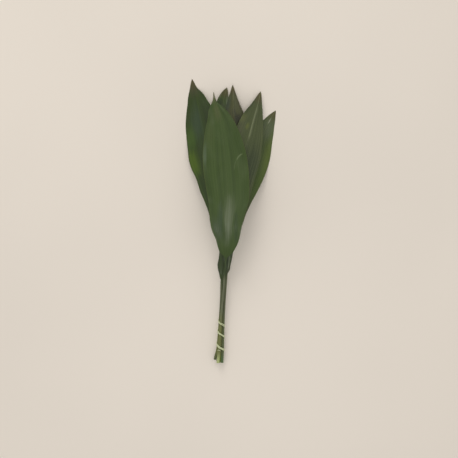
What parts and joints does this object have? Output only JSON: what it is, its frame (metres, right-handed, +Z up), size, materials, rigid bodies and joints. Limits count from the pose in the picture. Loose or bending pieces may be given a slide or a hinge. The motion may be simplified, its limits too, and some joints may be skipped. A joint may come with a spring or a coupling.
{
  "type": "bunch of cut aspidistra leaves tied with a rubber band",
  "caption": "Tied bunch of long, pointed, dark green aspidistra leaves on slender stalks, bound near the cut ends with a wound rubber band, lying on a surface.",
  "frame": {"origin": "on the surface it lies on, under the middle of its footprint", "axes": "+Y from the stalks' cut ends to the leaf tips, +X to the right seen from above, +Z up"},
  "size_m": [0.2068, 0.6532, 0.0586],
  "materials": {
    "leaf_green": null,
    "leaf_olive": null,
    "band_rubber": "pale yellow elastic rubber, dull sheen"
  },
  "bodies": {
    "root": {"leaf_front": "leaf_green", "leaf_left": "leaf_green", "leaf_low_centre": "leaf_green", "leaf_low_right": "leaf_green", "leaf_middle": "leaf_olive", "leaf_right": "leaf_olive", "band": "band_rubber"}
  },
  "joints": []
}
